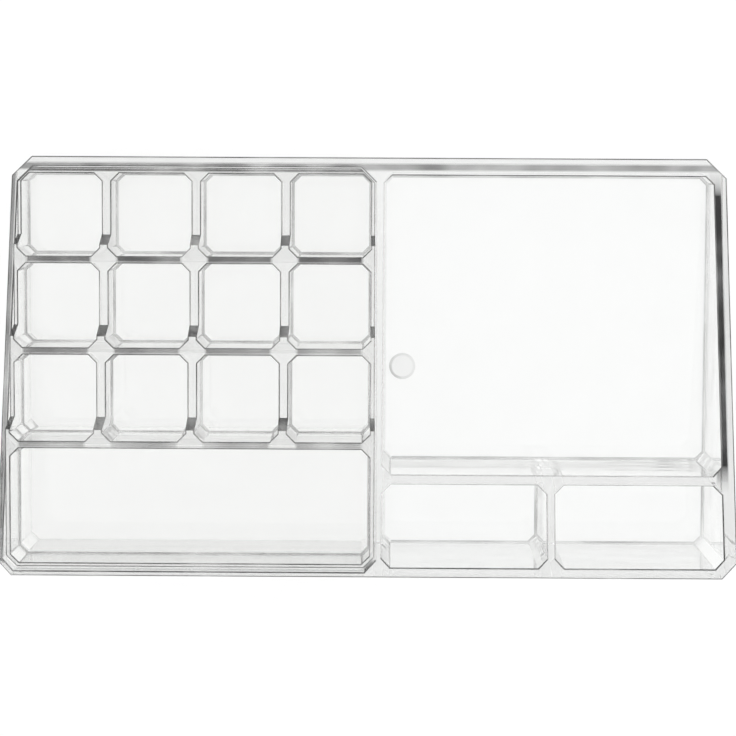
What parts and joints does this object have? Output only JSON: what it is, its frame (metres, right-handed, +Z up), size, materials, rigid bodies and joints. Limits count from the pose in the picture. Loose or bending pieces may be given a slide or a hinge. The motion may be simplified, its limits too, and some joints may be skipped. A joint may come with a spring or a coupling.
{
  "type": "vanity organizer",
  "caption": "Clear plastic cosmetics tray with a sloping rim, a large and two small compartments, and a lift-out staircase insert of lipstick cells with a long pocket.",
  "frame": {"origin": "centre of the bounding box at the table", "axes": "+X along the length, from the lipstick cells to the large compartment; +Y towards the low side of the rim; +Z up"},
  "size_m": [0.225, 0.127, 0.0518],
  "materials": {
    "tray_plastic": "clear water-white moulded polystyrene, gloss",
    "insert_plastic": "clear water-white moulded polystyrene, gloss"
  },
  "bodies": {
    "tray": {"tray": "tray_plastic"},
    "insert": {"tiered_insert": "insert_plastic"}
  },
  "joints": [
    {"name": "insert_lift", "type": "slide", "parent": "tray", "child": "insert", "axis": [0, 0, 1], "range_m": [0, 0.055]}
  ]
}
